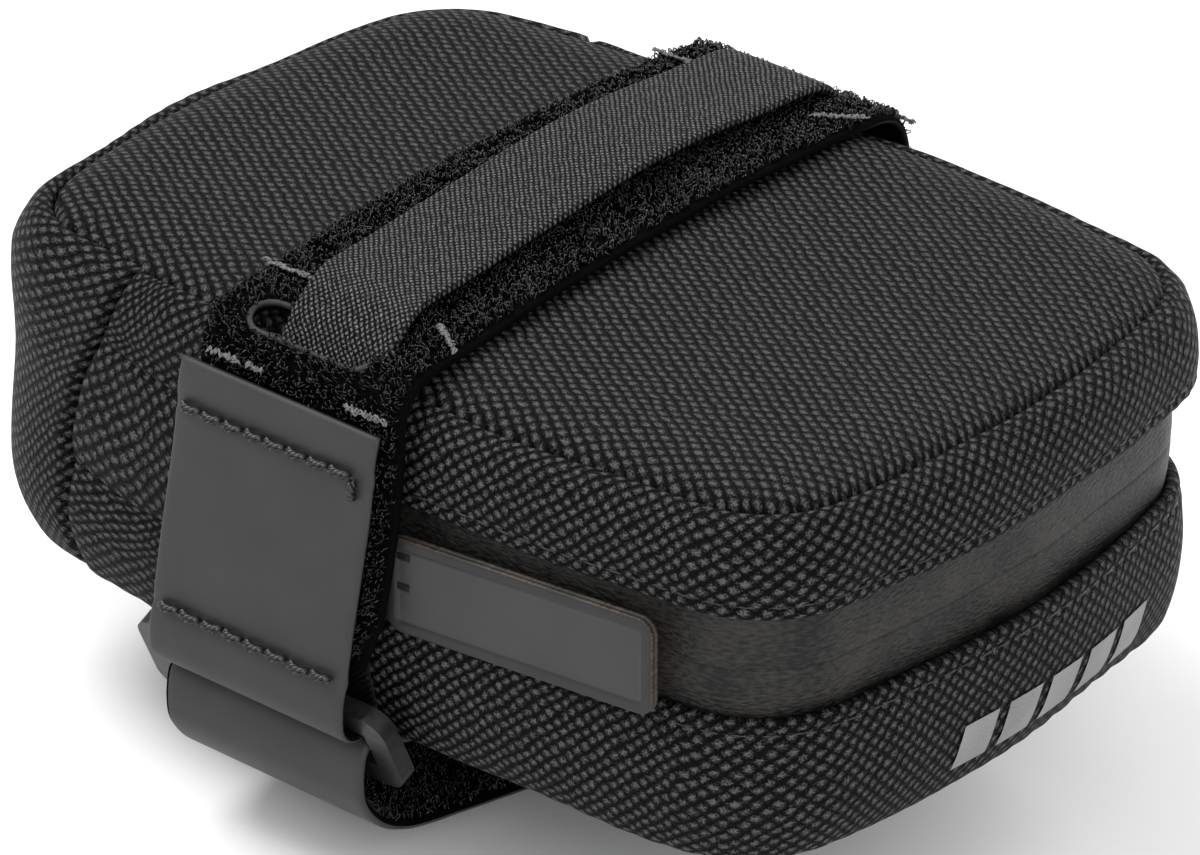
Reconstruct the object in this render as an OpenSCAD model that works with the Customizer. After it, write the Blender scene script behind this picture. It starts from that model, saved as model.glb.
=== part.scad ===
// Saddle bag for a bicycle: a small zipped pouch held to the saddle rails by a strap.
// X runs from the closed nose (-X) to the rear mouth (+X), Y across the bag and Z up.
// The origin is under the middle of the bag, level with the lowest point of the tail strap.

/* [Bag] */
// Length of the top seam outline
bag_len = 129; // [116:1:140]
// Width of the top seam outline
bag_wid = 94.4; // [88:1:100]
// Corner radius of the outline
corner_r = 14; // [11:1:18]
// Angle that half of a long side turns through
long_turn = 9.5; // [8:0.5:11]
// Angle that half of a short side turns through
short_turn = 10.5; // [9:0.5:12]
// Growth of the width towards the rear, as a share of it at 60 mm from the middle
rear_growth = 0.02; // [0:0.005:0.03]
// How far the strap draws the upper sides in, as a share of the width
waist_draw = 0.035; // [0.03:0.005:0.04]
// Height of the top seam above the bottom panel
seam_h = 46.1; // [45:0.5:48]
// Height of the crown above the top seam
crown_h = 3.5; // [2:0.5:3.5]

/* [Zip] */
// Height of the zip's centre line above the bottom panel
zip_h = 26.3; // [26:0.1:26.6]
// Height of the upper gusset's hem above the bottom panel
hem_h = 34.5; // [34:0.5:35.5]
// Height of the lower gusset's top edge above the bottom panel
sill_h = 20; // [19:0.5:20.5]
// Distance of the mouth's fold line behind the middle of the bag
fold_x = 9; // [8.9:0.1:9.4]
// Length of the pull tab
pull_len = 38; // [30:1:42]
// Height of the pull tab
pull_h = 12.8; // [10:0.5:13]

/* [Straps] */
// Width of the base strap and of everything sewn to it
strap_w = 32; // [30:1:32]
// Position of the base strap's middle along the bag
strap_x = -7.5; // [-8:0.5:-7.5]
// Width of the wing strap
wing_w = 16; // [14:1:18]
// Position of the wing strap's middle along the bag
wing_x = -6.5; // [-7:0.5:-6]
// Thickness of the base strap with its pile
base_t = 2; // [1.6:0.1:2.2]
// Thickness of the wing strap
wing_t = 1.2; // [1:0.1:1.3]
// Thickness of the coated straps
coat_t = 1; // [0.8:0.1:1.1]
// Thickness of the tail strap and of the strap under the bag
tail_t = 1.5; // [1.2:0.1:1.6]

/* [Ring] */
// Length of the ring
ring_len = 40; // [39.8:0.2:41]
// Distance between the middles of its two long bars
ring_pitch = 9.5; // [9:0.1:9.8]
// Width of the flat bar
bar_w = 3.6; // [3:0.1:3.8]
// Thickness of the flat bar
bar_t = 2.4; // [2:0.1:2.5]
// Lean of the ring from the vertical
ring_lean = 26; // [24:1:28]

/* [Hidden] */

// Colours
woven = [0.17, 0.17, 0.18];
coated = [0.3, 0.3, 0.31];
tape_grey = [0.24, 0.23, 0.22];
pile_black = [0.06, 0.06, 0.065];
webbing = [0.34, 0.33, 0.34];
trim_black = [0.1, 0.1, 0.1];
foam_grey = [0.45, 0.45, 0.46];
thread_grey = [0.66, 0.67, 0.7];
metal_dark = [0.25, 0.25, 0.26];

// Where the bag stands in the shared frame: the tail hangs below it and the leg beside it
tail_drop = 21.05;
side_shift = 1.7065;
along_shift = 1.14;

// Outline: four long arcs joined by four corner arcs, all tangent
half_len = bag_len / 2;
half_wid = bag_wid / 2;
arc_det = sin(long_turn) * sin(short_turn) - (1 - cos(short_turn)) * (1 - cos(long_turn));
long_less = ((half_len - corner_r) * sin(short_turn)
    - (half_wid - corner_r) * (1 - cos(short_turn))) / arc_det;
short_less = ((half_wid - corner_r) * sin(long_turn)
    - (half_len - corner_r) * (1 - cos(long_turn))) / arc_det;
long_r = long_less + corner_r;
short_r = short_less + corner_r;
corner_x = long_less * sin(long_turn);
corner_y = half_wid - corner_r - long_less * (1 - cos(long_turn));
rad = 180 / PI;
long_run = long_r * long_turn / rad;
corner_run = corner_r * (90 - long_turn - short_turn) / rad;
short_run = short_r * short_turn / rad;
quarter = long_run + corner_run + short_run;

// A point of the rear near quarter, q along it from the middle of the near side
function quarter_point(q, off) =
    q < long_run
        ? let(t = -90 + q / long_r * rad)
            [(long_r + off) * cos(t), long_r - half_wid + (long_r + off) * sin(t)]
    : q < long_run + corner_run
        ? let(t = -90 + long_turn + (q - long_run) / corner_r * rad)
            [corner_x + (corner_r + off) * cos(t), -corner_y + (corner_r + off) * sin(t)]
    : let(t = -short_turn + (q - long_run - corner_run) / short_r * rad)
        [half_len - short_r + (short_r + off) * cos(t), (short_r + off) * sin(t)];

// A point of the outline, d along it from the middle of the near side, rear way round
function rim(d, off) =
    let(e = (d % (4 * quarter) + 4 * quarter) % (4 * quarter), k = floor(e / quarter))
    k == 0 ? quarter_point(e, off)
    : k == 1 ? let(p = quarter_point(2 * quarter - e, off)) [p.x, -p.y]
    : k == 2 ? let(p = quarter_point(e - 2 * quarter, off)) [-p.x, -p.y]
    : let(p = quarter_point(4 * quarter - e, off)) [-p.x, p.y];

// Distance along the outline to a place x on the near side, and to it on the far side
function near_d(x) = long_r * asin(x / long_r) / rad;
function far_d(x) = 2 * quarter - near_d(x);

// The sides are drawn in under the strap, above the zip
waist_reach = 20;
waist_low = 27.5;
waist_full = 37.5;
function waist(x, z) = waist_draw * exp(-pow((x - strap_x) / waist_reach, 2))
    * min(1, max(0, (z - waist_low) / (waist_full - waist_low)));

// The nose bulges a little beyond the outline, and the lower rear edge sags
nose_x = -43;
nose_swell = 1.5;
function swell(x, z) = x > nose_x ? 0
    : nose_swell * pow((nose_x - x) / (half_len + nose_x), 2) * min(1, max(0, (seam_h - z) / 6));
rear_sag = 1.2;
sag_reach = 12;
function settle(p, z) = [
    p.x - swell(p.x, z),
    p.y * (1 + rear_growth * p.x / 60) * (1 - waist(p.x, z)),
    z - rear_sag * max(0, p.x) / half_len * max(0, 1 - z / sag_reach)];
function wall(d, off, z) = settle(rim(d, off), z);

// Places along the outline where a sweep has a section, closer together on the corners
corner_cuts = 6;
long_cuts = 4;
short_cuts = 3;
quarter_stops = concat([for (k = [0:long_cuts - 1]) long_run * k / long_cuts],
    [for (k = [0:corner_cuts - 1]) long_run + corner_run * k / corner_cuts],
    [for (k = [0:short_cuts - 1]) long_run + corner_run + short_run * k / short_cuts]);
half_stops = concat(quarter_stops, [quarter],
    [for (k = [len(quarter_stops) - 1:-1:1]) 2 * quarter - quarter_stops[k]]);
loop_stops = concat(half_stops, [for (d = half_stops) d + 2 * quarter]);
function stops_between(a, b) = concat([a],
    [for (turn = [-1:1], d = loop_stops)
        let(e = d + turn * 4 * quarter) if (e > a + 1 && e < b - 1) e], [b]);

// Two triangles for each cell of a grid of n rings of m points, ring by ring
function grid_faces(n, m, closed) = [for (i = [0:closed ? n - 1 : n - 2], j = [0:m - 1])
    let(i2 = (i + 1) % n, j2 = (j + 1) % m, a = i * m + j, b = i2 * m + j, c = i2 * m + j2,
        d = i * m + j2)
    each [[a, b, c], [a, c, d]]];

// Solid swept along the outline from a to b: the section is a loop of [offset, height],
// down its outer side first
module band(section, a, b) {
    at = stops_between(a, b);
    m = len(section);
    n = len(at);
    points = [for (d = at, p = section) wall(d, p[0], p[1])];
    ends = [[for (j = [0:m - 1]) j], [for (j = [m - 1:-1:0]) (n - 1) * m + j]];
    polyhedron(points, concat(grid_faces(n, m, false), ends));
}

// The same all the way round
module hoop(section) {
    points = [for (d = loop_stops, p = section) wall(d, p[0], p[1])];
    polyhedron(points, grid_faces(len(loop_stops), len(section), true));
}

// Solid built of rings round the outline, from its lowest middle outwards and over to its
// highest middle: each row is [offset, height, scale]
module shell(rows) {
    m = len(loop_stops);
    points = [for (r = rows, d = loop_stops)
        let(p = wall(d, r[0], r[1])) [p.x * r[2], p.y * r[2], p.z]];
    caps = [[for (j = [0:m - 1]) j], [for (j = [m - 1:-1:0]) (len(rows) - 1) * m + j]];
    polyhedron(points, concat(grid_faces(len(rows), m, false), caps));
}

// Half spaces ahead of the fold line and behind it
big = 200;
module ahead_of(x) {
    intersection() {
        children();
        translate([x - big, -big / 2, -big / 2]) cube(big);
    }
}
module behind(x) {
    intersection() {
        children();
        translate([x, -big / 2, -big / 2]) cube(big);
    }
}

// A strap's side view is a smooth line through a few points [across, height], given a
// thickness and extruded along the bag
function curve_point(p, k, t) =
    let(n = len(p) - 1, a = p[max(0, k - 1)], b = p[k], c = p[k + 1], d = p[min(n, k + 2)])
    0.5 * (2 * b + (c - a) * t + (2 * a - 5 * b + 4 * c - d) * t * t
        + (3 * b - a - 3 * c + d) * t * t * t);
curve_steps = 4;
function smooth(p) = concat([for (k = [0:len(p) - 2], s = [0:curve_steps - 1])
    curve_point(p, k, s / curve_steps)], [p[len(p) - 1]]);
function left_of(p, k) =
    let(n = len(p) - 1, v = p[min(n, k + 1)] - p[max(0, k - 1)]) [-v.y, v.x] / norm(v);
function ribbon(p, t) = concat([for (k = [0:len(p) - 1]) p[k] + left_of(p, k) * t / 2],
    [for (k = [len(p) - 1:-1:0]) p[k] - left_of(p, k) * t / 2]);
module along_bag(x, w) {
    translate([x - w / 2, 0, 0]) rotate([90, 0, 90]) linear_extrude(w) children();
}
module strap(points, t, x, w) {
    along_bag(x, w) polygon(ribbon(smooth(points), t));
}

// Every sub-part is coloured and stood in the shared frame here
module piece(c) {
    color(c) translate([along_shift, side_shift, tail_drop]) children();
}

// Heights and ends that several sub-parts share
gap = 0.3;
split = 0.3;
front_x = fold_x - split / 2;
rear_x = fold_x + split / 2;
tab_end_x = -20;

// Top panel
panel_t = 1.5;
function crown(top, t, inset) = [
    [-10 - inset, top - 1.0 - t, 0.25], [-10 - inset, top - 1.4 - t, 0.8],
    [-5 - inset, top - 2.2 - t, 1], [-2.2 - inset, top - 3 - t, 1],
    [-0.7 - inset, top - 3.9 - t, 1], [-0.7 - inset, top - 3.9, 1], [-1.6 - inset, top - 2.5, 1],
    [-5 - inset, top - 1.2, 1], [-10 - inset, top - 0.5, 0.8], [-10 - inset, top, 0.25]];
panel_top = seam_h + crown_h;
module top_panel_front() {
    piece(woven) ahead_of(front_x) shell(crown(panel_top, panel_t, 0));
}
module top_panel_rear() {
    piece(woven) behind(rear_x) shell(crown(panel_top, panel_t, 0));
}

// Foam under the top panel
foam_t = 2;
foam_inset = 4;
foam_top = panel_top - panel_t - 1.9;
module foam_sheet() {
    shell([[-foam_inset, foam_top - 1.6 - foam_t, 0.25], [-foam_inset, foam_top - 1.6 - foam_t, 1],
        [-foam_inset, foam_top - 1.6, 1], [-foam_inset - 5, foam_top, 0.8],
        [-foam_inset - 5, foam_top, 0.25]]);
}
module top_foam_front() {
    piece(foam_grey) ahead_of(front_x) foam_sheet();
}
module top_foam_rear() {
    piece(foam_grey) behind(rear_x) foam_sheet();
}

// Upper gusset: from the top seam down to the hem over the zip
upper_section = [[-0.3, seam_h + 0.3], [1, seam_h], [2.6, seam_h - 2], [3.6, seam_h - 5],
    [3.9, seam_h - 8], [3.5, hem_h], [1.9, hem_h], [2.2, seam_h - 8], [1.7, seam_h - 5.4],
    [0.8, seam_h - 3], [-0.3, seam_h - 1.6]];
module upper_gusset_rear() {
    piece(woven) band(upper_section, near_d(rear_x), far_d(rear_x));
}
module upper_gusset_near() {
    piece(woven) band(upper_section, near_d(nose_x + gap), near_d(front_x));
}
module upper_gusset_far() {
    piece(woven) band(upper_section, far_d(front_x), far_d(nose_x + gap));
}

// Nose panel: the full height of the closed end, round both its corners
module nose_panel() {
    nose_section = concat([for (k = [0:4]) upper_section[k]], [[3.9, 34], [3.7, 24], [4.1, 12],
        [3.4, 6], [1.4, 2], [-1.4, 0.3], [-1.4, 2.4], [1.5, 6], [2.1, 12], [1.9, 24], [2.1, 34]],
        [for (k = [8:10]) upper_section[k]]);
    piece(woven) band(nose_section, far_d(nose_x), 4 * quarter + near_d(nose_x));
}

// Lower gusset: from its edge behind the zip down to the bottom seam
lower_section = [[1, sill_h], [2.4, sill_h], [3.4, sill_h - 3.5], [3.8, sill_h - 8.5],
    [3.2, 6.5], [1.4, 2], [-1.4, 0.3], [-1.4, 2.4], [1.5, 6.8], [2, sill_h - 8.5],
    [1.6, sill_h - 3.6], [1, sill_h - 1.5]];
module lower_gusset() {
    piece(woven) band(lower_section, near_d(nose_x + gap), far_d(nose_x + gap));
}

// Bottom panel and the stiffener board on it
module bottom_panel() {
    piece(woven) shell([[-2, 0, 0.25], [-2, 0, 1], [-1.8, 1.5, 1], [-1.8, 1.5, 0.25]]);
}
module bottom_board() {
    piece(foam_grey) shell([[-4.5, 1.8, 0.25], [-4.5, 1.8, 1], [-4.5, 3.3, 1], [-4.5, 3.3, 0.25]]);
}
lining_top = sill_h - 3.4;
module lower_lining() {
    piece(foam_grey) shell([[-5, 3.7, 0.25], [-5, 3.7, 1], [-2.6, 4.6, 1], [0.7, 8.5, 1],
        [1.1, 12, 1], [0.6, lining_top, 1], [0.1, lining_top, 1], [0.6, 12, 1], [0.2, 9, 1],
        [-2.9, 5.2, 1], [-5, 4.1, 1], [-5, 4.1, 0.25]]);
}

// Bound seams inside
module binding(h, a, b) {
    section = [[-1, h + 1.2], [-0.9, h - 1.4], [-1.6, h - 1.4], [-1.8, h + 0.8]];
    if (b - a > 3.9 * quarter) hoop(section);
    else band(section, a, b);
}
top_binding_h = seam_h - 3.8;
module top_binding_front() {
    piece(trim_black) binding(top_binding_h, far_d(front_x), 4 * quarter + near_d(front_x));
}
module top_binding_rear() {
    piece(trim_black) binding(top_binding_h, near_d(rear_x), far_d(rear_x));
}
module bottom_binding() {
    piece(trim_black) hoop([[-0.5, 4.9], [-1.5, 3.4], [-2, 3.7], [-1, 5.3]]);
}

// Zip: two coated tapes that meet at the centre line, with a coil on the inner edge of each
tape_t = 0.8;
tape_off = 0.9;
tape_gap = 0.8;
coil_gap = 1;
coil_h = 1.6;
coil_t = 1.3;
tape_start_x = -18;
module tape(low, high, a, b) {
    band([[tape_off, high], [tape_off, low], [tape_off - tape_t, low], [tape_off - tape_t, high]],
        a, b);
}
upper_tape_low = zip_h + tape_gap / 2;
upper_tape_high = hem_h + 5;
module zip_tape_upper() {
    piece(tape_grey) tape(upper_tape_low, upper_tape_high, near_d(rear_x), far_d(rear_x));
}
module zip_tape_upper_ends() {
    piece(tape_grey) {
        tape(upper_tape_low, upper_tape_high, near_d(tape_start_x), near_d(front_x));
        tape(upper_tape_low, upper_tape_high, far_d(front_x), far_d(tape_start_x));
    }
}
module zip_tape_lower() {
    tape_low = 17.4;
    piece(tape_grey)
        band([[tape_off, zip_h - tape_gap / 2], [tape_off, tape_low + 1], [tape_off - 0.3, tape_low],
            [tape_off - tape_t - 0.3, tape_low], [tape_off - tape_t, zip_h - tape_gap / 2]],
            near_d(tape_start_x), far_d(tape_start_x));
}
module coil(low, a, b) {
    outer = tape_off - tape_t - 0.1;
    band([[outer, low + coil_h], [outer, low], [outer - coil_t, low], [outer - coil_t, low + coil_h]],
        a, b);
}
module zip_coil_upper() {
    piece(trim_black) coil(zip_h + coil_gap / 2, near_d(rear_x), far_d(rear_x));
}
coil_start_x = -10;
module zip_coil_lower() {
    piece(trim_black) coil(zip_h - coil_gap / 2 - coil_h, near_d(coil_start_x), far_d(coil_start_x));
}
module zip_end_stops() {
    stop_len = 2;
    stop_section = [[0, zip_h + 2], [0, zip_h - 2], [-1.4, zip_h - 2], [-1.4, zip_h + 2]];
    start = near_d(coil_start_x - gap);
    piece(metal_dark) {
        band(stop_section, start - stop_len, start);
        band(stop_section, 2 * quarter - start, 2 * quarter - start + stop_len);
    }
}

// Woven tabs that close the zip band between the nose and the strap
module end_tab(a, b) {
    low = sill_h + gap;
    high = hem_h - gap;
    mid = (low + high) / 2;
    band([[2, high], [3.3, high - 2], [3.7, mid], [3.3, low + 2], [2, low], [1.3, low], [1.3, high]],
        a, b);
}
module zip_end_tab_near() {
    piece(woven) end_tab(near_d(nose_x + gap), near_d(tab_end_x));
}
module zip_end_tab_far() {
    piece(woven) end_tab(far_d(tab_end_x), far_d(nose_x + gap));
}

// Slider: plates outside and inside the tapes, joined by a neck in the gap between the coils
slider_x = 8;
slider_len = 9;
slider_h = 8;
plate_t = 0.8;
plate_out_y = -50.15;
plate_in_y = -44.4;
neck_t = 0.5;
neck_len = 1.6;
bridge_w = 2;
link_y = -51.2;
link_x = 9.6;
module zip_slider() {
    piece(metal_dark) {
        for (y = [plate_out_y, plate_in_y])
            translate([slider_x - slider_len / 2, y, zip_h - slider_h / 2])
                cube([slider_len, plate_t, slider_h]);
        translate([slider_x - slider_len / 2, plate_out_y, zip_h - neck_t / 2])
            cube([neck_len, plate_in_y - plate_out_y + plate_t, neck_t]);
    }
}
link_r = 0.45;
link_h = 5;
module zip_pull_link() {
    piece(metal_dark) {
        translate([link_x, link_y, zip_h - link_h / 2]) cylinder(h = link_h, r = link_r, $fn = 24);
        for (s = [-1, 1])
            translate([link_x, link_y - link_r, zip_h + s * (link_h / 2 - link_r) - link_r])
                cube([3.2, 2 * link_r, 2 * link_r]);
    }
}

// Pull tab: two rubber leaves bonded together, leaning in with the side of the bag
pull_turn = 4.2;
leaf_t = 0.75;
pull_start = 2.2;
pull_low = -7;
module leaf(y, border) {
    r = 2;
    translate([link_x, link_y, zip_h + pull_low]) rotate([0, 0, pull_turn])
        translate([pull_start, y, 0]) rotate([90, 0, 0]) difference() {
            linear_extrude(leaf_t) union() {
                square([pull_len - r, pull_h]);
                translate([0, r]) square([pull_len, pull_h - 2 * r]);
                for (z = [r, pull_h - r]) translate([pull_len - r, z]) circle(r, $fn = 32);
            }
            if (border > 0) translate([border, border, leaf_t - 0.25])
                cube([pull_len - 3 * border, pull_h - 2 * border, 1]);
            slot_h = link_h - 2;
            translate([-1, -pull_low - link_h / 2 - 0.2, -1]) cube([2.4, link_h + 0.4, leaf_t + 2]);
            translate([-1, -pull_low - slot_h / 2, -1]) cube([2.6, slot_h, leaf_t + 2]);
        }
}
module zip_pull_outer() {
    piece(coated) leaf(-0.02, 1.6);
}
module zip_pull_inner() {
    piece(coated) leaf(leaf_t, 0);
}

// Strap lines, seen from the nose end: across the bag, then height above the bottom panel
top_run = [[-38, 50.6], [-25, 51.3], [-10, 51.7], [0, 51.7], [10, 51.7], [25, 51.3], [38, 50.6]];
near_leg = [[-55.2, 13], [-55, 16], [-54.6, 20], [-54, 25], [-53.4, 30], [-52.9, 35],
    [-52.7, 41], [-51.9, 45.4], [-50, 48.3], [-46.8, 49.9], [-43, 50.3]];
far_leg = [[43, 50.3], [46.8, 49.9], [50, 48.3], [51.9, 45.2], [52.9, 41], [53.4, 35],
    [53.6, 27], [53.6, 18], [53.2, 10]];
slot_y = 43;
slot_w = 5.2;
slot_len = 22;
slot_x = -9;
module slot_cut(y) {
    r = slot_w / 2;
    translate([slot_x, y, 44]) {
        translate([-slot_len / 2 + r, -r, 0]) cube([slot_len - slot_w, slot_w, 10]);
        for (s = [-1, 1]) translate([s * (slot_len / 2 - r), 0, 0]) cylinder(h = 10, r = r, $fn = 40);
    }
}
module base_strap() {
    piece(pile_black) difference() {
        strap(concat(near_leg, top_run, far_leg), base_t, strap_x, strap_w);
        for (s = [-1, 1]) slot_cut(s * slot_y);
    }
}

// Wing strap: up through one slot, over, and down through the other
wing_end = [[50.9, 28.5], [50.9, 33], [50.6, 38], [50.2, 42], [49.2, 45], [47.2, 47],
    [44.9, 48.3], [43, 49.7], [41.9, 51.2], [40.2, 52.8], [37.5, 53.8]];
wing_top = [[30, 54.3], [18, 55.3], [5, 55.6], [-10, 54.9], [-22, 54.3], [-31, 53.9]];
module wing_strap() {
    near_end = [for (k = [len(wing_end) - 1:-1:0]) [-wing_end[k].x, wing_end[k].y]];
    piece(webbing) strap(concat(wing_end, wing_top, near_end), wing_t, wing_x, wing_w);
}

// Ring: a flat bar bent to a rectangle, leaning in towards the bag
upper_bar = [-54.4, 5.7];
ring_in = [sin(ring_lean), -cos(ring_lean)];
module ring() {
    out_r = 3;
    h = ring_pitch + bar_w;
    window = [ring_len - 2 * bar_w, ring_pitch - bar_w];
    piece(metal_dark) translate([strap_x, upper_bar.x, upper_bar.y]) rotate([ring_lean, 0, 0])
        translate([0, bar_t / 2, -ring_pitch / 2]) rotate([90, 0, 0]) difference() {
            linear_extrude(bar_t) union() {
                square([ring_len - 2 * out_r, h], center = true);
                square([ring_len, h - 2 * out_r], center = true);
                for (sx = [-1, 1], sz = [-1, 1])
                    translate([sx * (ring_len / 2 - out_r), sz * (h / 2 - out_r)])
                        circle(out_r, $fn = 40);
            }
            translate([-window.x / 2, -window.y / 2, -1]) cube([window.x, window.y, bar_t + 2]);
        }
}

// Side panel: down the outside of the near leg, round the ring's upper bar and up behind it
roll_r = 3.1;
roll = [for (a = [180:30:390]) upper_bar + roll_r * [cos(a), sin(a)]];
module side_panel() {
    points = concat([[-53.8, 44.6], [-54.4, 41], [-54.6, 35], [-55.1, 30], [-55.7, 25],
        [-56.3, 20], [-56.7, 16], [-57.1, 12], [-57.5, 8.5]], roll,
        [[-52.2, 9], [-52.9, 11], [-53.2, 13.4]]);
    piece(coated) strap(points, coat_t, strap_x, strap_w);
}

// Under strap: from the far leg beneath the bag and through the ring
under_line = [[53.4, 9.6], [53, 5], [51.2, 1.4], [47.5, -1], [43, -1.6], [30, -1.6], [0, -1.6],
    [-30, -1.6], [-41, -1.8], [-46, -1.3], [-48.6, 0.1], [-50.4, 1.15], [-52.2, 1.3],
    [-53.6, 0.2], [-54, -1.5], [-54.1, -3]];
module under_strap() {
    piece(coated) strap(under_line, tail_t, strap_x, strap_w);
}

// Tail strap: on from the ring, out and down in a loose bow, to its end on the loop patch
tail_line = [[-54.1, -3.6], [-53.7, -6.4], [-51.8, -9.4], [-48.8, -12], [-45, -13.8],
    [-41, -14.9], [-36, -15.9], [-28, -17.5], [-17, -19.5], [-6, -20.3], [4, -19.4], [13, -16.3],
    [21, -11.6], [28, -7.2], [33, -5.4], [38, -5], [46, -5]];
module tail_strap() {
    piece(coated) strap(tail_line, tail_t, strap_x, strap_w);
}
patch_t = 0.8;
patch_mid = 40;
patch_len = 11;
module hook_patch() {
    piece(pile_black) along_bag(strap_x, strap_w - 2)
        translate([patch_mid - patch_len / 2, -4.2]) square([patch_len, patch_t]);
}
module loop_patch() {
    start = -34;
    piece(pile_black) along_bag(strap_x, strap_w - 2)
        translate([start, -3.2]) square([patch_mid + patch_len / 2 - start, patch_t]);
}

// Thread: two rows across the side panel, and tacks at the slots
stitch_len = 3;
stitch_pitch = 3.7;
stitch_w = 0.9;
stitch_t = 0.5;
module stitch_row(y, z, lean) {
    count = 8;
    for (k = [0:count - 1])
        translate([strap_x + (k - (count - 1) / 2) * stitch_pitch, y, z]) rotate([lean, 0, 0])
            cube([stitch_len, stitch_t, stitch_w], center = true);
}
module side_stitching() {
    piece(trim_black) {
        stitch_row(-54.95, 38.6, 4);
        stitch_row(-57.75, 11.6, 6);
    }
}
module bar_tacks() {
    piece(thread_grey) for (s = [-1, 1]) {
        for (x = [-20.6, 4.8]) translate([x, s * 37.4, 51.85]) cube([5, 1, stitch_t], center = true);
        for (x = [-18.8, 4]) translate([x, s * 49.9, 49.75]) rotate([s * -40, 0, 0])
            cube([6, 1, stitch_t], center = true);
    }
}

// Reflective mark: five plain bars on the rear of the lower gusset
module reflective_mark() {
    bar_len = 6;
    bar_pitch = 8;
    mark_d = quarter + 6;
    piece(thread_grey) for (k = [-2:2])
        band([[3.95, 10.2], [3.45, 4.8], [3.15, 4.8], [3.65, 10.2]],
            mark_d + k * bar_pitch - bar_len / 2, mark_d + k * bar_pitch + bar_len / 2);
}

top_panel_front();
top_panel_rear();
upper_gusset_rear();
upper_gusset_near();
upper_gusset_far();
nose_panel();
lower_gusset();
bottom_panel();
bottom_board();
top_foam_front();
top_foam_rear();
lower_lining();
top_binding_front();
top_binding_rear();
bottom_binding();
zip_tape_upper();
zip_tape_upper_ends();
zip_tape_lower();
zip_coil_upper();
zip_coil_lower();
zip_end_stops();
zip_end_tab_near();
zip_end_tab_far();
zip_slider();
zip_pull_link();
zip_pull_outer();
zip_pull_inner();
base_strap();
wing_strap();
side_panel();
under_strap();
tail_strap();
hook_patch();
loop_patch();
ring();
side_stitching();
bar_tacks();
reflective_mark();
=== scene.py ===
import math

import bmesh
import bpy
import numpy as np
from mathutils import Matrix, Vector, noise


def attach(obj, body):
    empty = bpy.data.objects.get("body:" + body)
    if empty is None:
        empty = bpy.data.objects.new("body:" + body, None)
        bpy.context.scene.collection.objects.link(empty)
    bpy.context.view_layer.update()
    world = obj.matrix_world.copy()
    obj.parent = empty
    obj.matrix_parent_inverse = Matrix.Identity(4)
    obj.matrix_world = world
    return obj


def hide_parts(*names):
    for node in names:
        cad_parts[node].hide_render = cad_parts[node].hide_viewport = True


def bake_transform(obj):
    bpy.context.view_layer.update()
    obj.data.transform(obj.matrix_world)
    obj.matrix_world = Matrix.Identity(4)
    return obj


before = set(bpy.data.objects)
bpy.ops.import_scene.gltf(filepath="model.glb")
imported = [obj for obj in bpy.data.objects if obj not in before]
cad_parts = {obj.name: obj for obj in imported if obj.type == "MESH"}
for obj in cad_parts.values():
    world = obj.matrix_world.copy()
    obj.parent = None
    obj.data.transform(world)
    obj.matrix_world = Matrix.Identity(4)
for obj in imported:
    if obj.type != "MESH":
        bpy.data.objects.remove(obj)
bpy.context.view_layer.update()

# ---------------------------------------------------------------- sizes shared with CAD
SHIFT = np.array([1.14, 1.7065, 21.05])
BAG_LEN, BAG_WID, CORNER_R = 129.0, 94.4, 14.0
LONG_TURN, SHORT_TURN = math.radians(9.5), math.radians(10.5)
GROWTH, WAIST, WAIST_REACH = 0.02, 0.035, 20.0
SEAM_H, ZIP_H, HEM_H, SILL_H = 46.1, 26.3, 34.5, 20.0
FOLD_X, STRAP_X, STRAP_W, WING_X, WING_W = 9.0, -7.5, 32.0, -6.5, 16.0
NOSE_X, SWELL, REAR_SAG = -43.0, 1.5, 1.2
SECTION_STEP = 0.6

half_len, half_wid = BAG_LEN / 2, BAG_WID / 2
arc_det = math.sin(LONG_TURN) * math.sin(SHORT_TURN) - (1 - math.cos(SHORT_TURN)) * (
    1 - math.cos(LONG_TURN)
)
long_less = (
    (half_len - CORNER_R) * math.sin(SHORT_TURN)
    - (half_wid - CORNER_R) * (1 - math.cos(SHORT_TURN))
) / arc_det
short_less = (
    (half_wid - CORNER_R) * math.sin(LONG_TURN)
    - (half_len - CORNER_R) * (1 - math.cos(LONG_TURN))
) / arc_det
long_r, short_r = long_less + CORNER_R, short_less + CORNER_R
corner_x = long_less * math.sin(LONG_TURN)
corner_y = half_wid - CORNER_R - long_less * (1 - math.cos(LONG_TURN))
corner_turn = math.pi / 2 - LONG_TURN - SHORT_TURN
long_run, corner_run, short_run = (
    long_r * LONG_TURN,
    CORNER_R * corner_turn,
    short_r * SHORT_TURN,
)
quarter = long_run + corner_run + short_run


def rim(d, off):
    """The outline d along from the middle of the near side, off outwards: x and y."""
    e = np.mod(d, 4 * quarter)
    k = np.floor(e / quarter).astype(int)
    q = np.where(k % 2 == 0, e - k * quarter, (k + 1) * quarter - e)
    t1 = -math.pi / 2 + q / long_r
    x1, y1 = (long_r + off) * np.cos(t1), long_r - half_wid + (long_r + off) * np.sin(t1)
    t2 = -math.pi / 2 + LONG_TURN + (q - long_run) / CORNER_R
    x2, y2 = corner_x + (CORNER_R + off) * np.cos(t2), -corner_y + (CORNER_R + off) * np.sin(t2)
    t3 = -SHORT_TURN + (q - long_run - corner_run) / short_r
    x3, y3 = half_len - short_r + (short_r + off) * np.cos(t3), (short_r + off) * np.sin(t3)
    near, mid = q < long_run, q < long_run + corner_run
    x = np.where(near, x1, np.where(mid, x2, x3))
    y = np.where(near, y1, np.where(mid, y2, y3))
    return np.where(k >= 2, -x, x), np.where((k == 1) | (k == 2), -y, y)


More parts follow.
